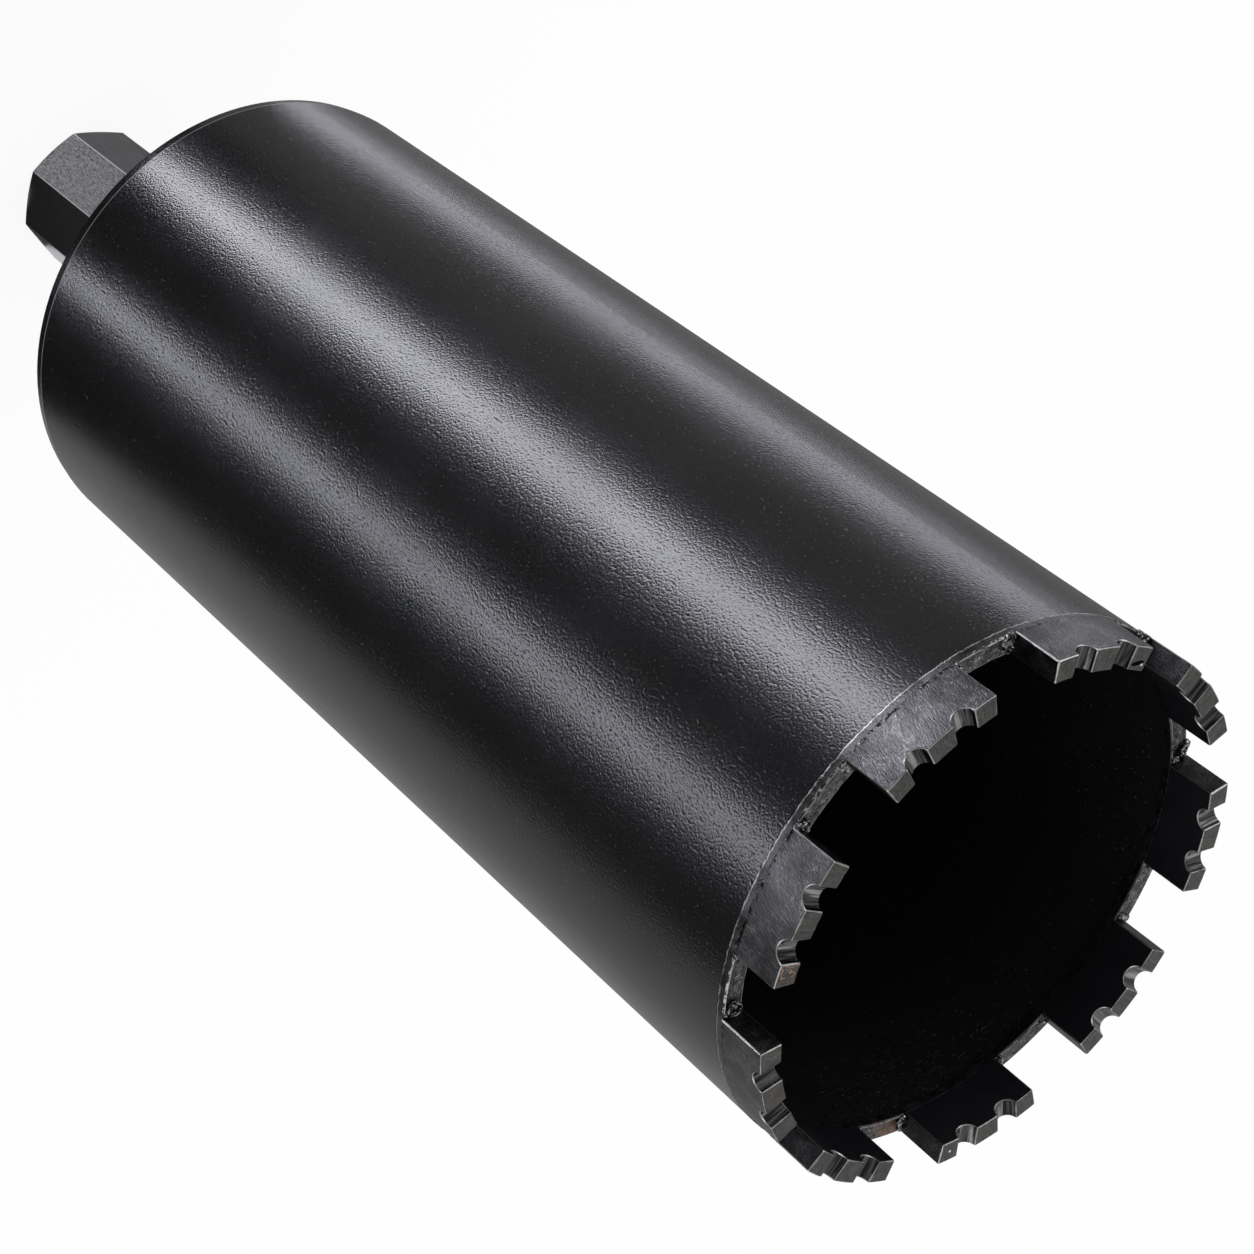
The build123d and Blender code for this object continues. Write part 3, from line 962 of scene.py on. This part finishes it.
class CORE_BIT_OT_set_studio(bpy.types.Operator):
    """Set the floor, the lights, the background and the camera"""

    bl_idname = "core_bit.set_studio"
    bl_label = "Set studio"

    floor_radius = 12.0
    card_height = 0.5 * MM
    # Cards on the floor in gloss, a dark one and a grey one: azimuth, half width, near edge, far edge
    dark_card = (73.5, 68.5, 0.02, 1.1)
    grey_card = (-50.0, 55.0, 0.06, 1.1)
    grey_level = 0.25
    # Cards round the foot of the hub, one for each flat in view: azimuth, half width, strength; and the
    # near edge, far edge, height and rise of each
    hub_cards = ((-36.0, 56.0, 0.36), (45.5, 23.5, 0.80), (107.0, 38.0, 0.05), (197.5, 52.5, 1.3))
    hub_card_sizes = (0.0165, 0.048, 0.3 * MM, 0.023)
    # Strip lights on the floor: the barrel's angle that shows each, its half width, its strength; and the
    # near edge, far edge and height of each
    strips = ((3.5, 6.0, 3.8), (43.2, 8.0, 12.5), (74.3, 4.5, 9.5))
    strip_sizes = (0.048, 0.9, 1.0 * MM)
    strip_colour = (0.965, 0.965, 1.065)
    # Softboxes: name, place, width, depth and power
    softboxes = (
        ("key_softbox", (-0.50, -0.78, 1.08), 0.9, 0.9, 3.0),
        ("side_softbox", (0.95, -0.55, 0.75), 0.5, 0.9, 4.0),
        ("back_softbox", (-0.9, 0.75, 0.7), 0.5, 0.9, 4.0),
    )
    lights_aim = Vector((0.0, 0.0, 0.2))

    def execute(self, context):
        studio = context.scene.core_bit_studio
        self.lay_floor(studio)
        self.light_world(context, studio)
        self.lay_cards(studio)
        self.hang_lights(context)
        self.aim_camera(context)
        context.scene.view_settings.view_transform = "Standard"
        return {"FINISHED"}

    def stage_piece(self, name, bm, material):
        """Piece of the stage from a bmesh."""
        piece = object_from(bm, name)
        piece.data.materials.append(material)
        return piece

    def card(self, name, bm, material):
        """Piece of the stage that only gloss shows."""
        piece = self.stage_piece(name, bm, material)
        piece.visible_camera = False
        piece.visible_diffuse = False
        piece.visible_shadow = False
        piece.visible_transmission = False

    def background_rays(self, tree, studio):
        """Masks of the rays that see the background straight and in gloss, and its strength for them."""
        path = put(tree, "ShaderNodeLightPath").outputs
        seen = calc(tree, "MAXIMUM", path["Is Camera Ray"], path["Is Transmission Ray"])
        gloss = path["Is Glossy Ray"]
        return seen, gloss, plus(tree, seen, times(tree, gloss, studio.in_gloss))

    def lay_floor(self, studio):
        material, tree = new_material("studio_floor")
        seen, gloss, strength = self.background_rays(tree, studio)
        # A tenth of what the camera sees stays lit, which keeps the object's shadow
        amount = calc(tree, "MAXIMUM", times(tree, seen, 0.9), gloss)
        colour = opaque(studio.background)
        lit = put(tree, "ShaderNodeBsdfDiffuse", {"Color": colour})
        plain = put(tree, "ShaderNodeEmission", {"Color": colour, "Strength": strength})
        mixed = put(tree, "ShaderNodeMixShader", {0: amount, 1: lit.outputs[0], 2: plain.outputs[0]})
        put(tree, "ShaderNodeOutputMaterial", {"Surface": mixed.outputs[0]})
        bm = bmesh.new()
        bmesh.ops.create_circle(bm, cap_ends=True, segments=96, radius=self.floor_radius)
        self.stage_piece("studio_floor", bm, material)

    def light_world(self, context, studio):
        world = context.scene.world or bpy.data.worlds.new("studio")
        context.scene.world = world
        world.use_nodes = True
        tree = world.node_tree
        tree.nodes.clear()
        seen, gloss, strength = self.background_rays(tree, studio)
        shown = calc(tree, "MAXIMUM", seen, gloss)
        ambient = times(tree, minus(tree, 1.0, shown), studio.ambient)
        sockets = {"Color": opaque(studio.background), "Strength": plus(tree, strength, ambient)}
        sky = put(tree, "ShaderNodeBackground", sockets)
        put(tree, "ShaderNodeOutputWorld", {"Surface": sky.outputs[0]})

    def sector(self, centre, middle, half_width, near, far, height, rise=0.0):
        """Piece of a ring between two radii, by its middle and half width, flat or rising outwards."""
        bm = bmesh.new()
        start = middle - half_width
        ends = [
            bm.verts.new(centre + around(near, start, height)),
            bm.verts.new(centre + around(far, start, height + rise)),
        ]
        edge = bm.edges.new(ends)
        bmesh.ops.spin(bm, geom=[*ends, edge], cent=centre, axis=(0, 0, 1),
                       angle=2 * half_width, steps=24)
        bmesh.ops.recalc_face_normals(bm, faces=bm.faces[:])
        if bm.faces[:][0].normal.z < 0:
            bmesh.ops.reverse_faces(bm, faces=bm.faces[:])
        return bm

    def floor_sector(self, middle, half_width, *sizes):
        """Sector about the bit's axis, with its angles in degrees."""
        return self.sector(Vector((0, 0, 0)), math.radians(middle), math.radians(half_width), *sizes)

    def glow(self, name, colour, level, one_sided=False):
        """Material that only gives light."""
        material, tree = new_material(name)
        strength = level
        if one_sided:
            behind = put(tree, "ShaderNodeNewGeometry").outputs["Backfacing"]
            strength = times(tree, minus(tree, 1.0, behind), level)
        light = put(tree, "ShaderNodeEmission", {"Color": opaque(colour), "Strength": strength})
        put(tree, "ShaderNodeOutputMaterial", {"Surface": light.outputs[0]})
        return material

    def lay_cards(self, studio):
        dark, tree = new_material("dark_card")
        cloth = put(tree, "ShaderNodeBsdfDiffuse", {"Color": (0.03, 0.03, 0.03, 1.0)})
        put(tree, "ShaderNodeOutputMaterial", {"Surface": cloth.outputs[0]})
        self.card("dark_card", self.floor_sector(*self.dark_card, self.card_height), dark)
        grey = self.glow("grey_card", (1.0, 1.0, 1.0), self.grey_level)
        self.card("grey_card", self.floor_sector(*self.grey_card, self.card_height), grey)
        for number, (middle, half_width, level) in enumerate(self.hub_cards, 1):
            bm = self.floor_sector(middle, half_width, *self.hub_card_sizes)
            self.card(f"hub_card_{number}", bm, self.glow(f"hub_card_{number}", (1.0, 1.0, 1.03), level))
        for number, (angle, half_width, level) in enumerate(self.strips, 1):
            spot = around(BARREL_RADIUS, math.radians(angle), 0.0)
            to_camera = Vector(CAMERA_PLACE) - spot
            azimuth = 2 * math.radians(angle) - math.atan2(to_camera.y, to_camera.x)
            name = f"strip_light_{number}"
            light = self.glow(name, self.strip_colour, level * studio.strips, one_sided=True)
            bm = self.sector(spot, azimuth, math.radians(half_width), *self.strip_sizes)
            self.card(name, bm, light)

    def hang_lights(self, context):
        for name, spot, width, depth, power in self.softboxes:
            data = bpy.data.lights.new(name, "AREA")
            data.shape = "RECTANGLE"
            data.size, data.size_y = width, depth
            data.energy = power
            lamp = bpy.data.objects.new(name, data)
            lamp.location = spot
            aim = self.lights_aim - Vector(spot)
            lamp.rotation_mode = "QUATERNION"
            lamp.rotation_quaternion = aim.to_track_quat("-Z", "Y")
            lamp.visible_camera = False
            context.scene.collection.objects.link(lamp)

    def aim_camera(self, context):
        data = bpy.data.cameras.new("photo_camera")
        data.lens = CAMERA_LENS
        data.sensor_width = 36.0
        data.clip_start = 0.01
        data.clip_end = 50.0
        camera = bpy.data.objects.new("photo_camera", data)
        context.scene.collection.objects.link(camera)
        turn = Matrix((CAMERA_RIGHT, -CAMERA_DOWN, -CAMERA_AHEAD)).transposed()
        camera.matrix_world = Matrix.Translation(CAMERA_PLACE) @ turn.to_4x4()
        context.scene.camera = camera


class CORE_BIT_PT_pieces(bpy.types.Panel):
    """Lists the pieces of the core bit"""

    bl_label = "Core bit"
    bl_idname = "CORE_BIT_PT_pieces"
    bl_space_type = "VIEW_3D"
    bl_region_type = "UI"
    bl_category = "Core bit"

    def draw(self, context):
        for operator in OPERATORS:
            self.layout.operator(operator.bl_idname)


OPERATORS = (
    CORE_BIT_OT_dress_barrel,
    CORE_BIT_OT_dress_crown_ring,
    CORE_BIT_OT_dress_segments,
    CORE_BIT_OT_make_braze,
    CORE_BIT_OT_make_foot_seams,
    CORE_BIT_OT_make_hub,
    CORE_BIT_OT_make_hub_weld,
    CORE_BIT_OT_set_studio,
)
SETTINGS = {
    "core_bit_paint": PaintFinish,
    "core_bit_segment": SegmentFinish,
    "core_bit_steel": SteelFinish,
    "core_bit_thread": HubThread,
    "core_bit_braze": BrazeShape,
    "core_bit_studio": Studio,
}


def register():
    for group in SETTINGS.values():
        bpy.utils.register_class(group)
    for operator in OPERATORS:
        bpy.utils.register_class(operator)
    bpy.utils.register_class(CORE_BIT_PT_pieces)
    for name, group in SETTINGS.items():
        setattr(bpy.types.Scene, name, PointerProperty(type=group))


def unregister():
    for name in SETTINGS:
        delattr(bpy.types.Scene, name)
    bpy.utils.unregister_class(CORE_BIT_PT_pieces)
    for operator in OPERATORS:
        bpy.utils.unregister_class(operator)
    for group in SETTINGS.values():
        bpy.utils.unregister_class(group)


def main():
    register()
    bpy.ops.core_bit.dress_barrel()
    bpy.ops.core_bit.dress_crown_ring()
    bpy.ops.core_bit.dress_segments()
    bpy.ops.core_bit.make_braze()
    bpy.ops.core_bit.make_foot_seams()
    bpy.ops.core_bit.make_hub()
    bpy.ops.core_bit.make_hub_weld()
    bpy.ops.core_bit.set_studio()
    bpy.context.view_layer.update()


if __name__ == "__main__":
    main()
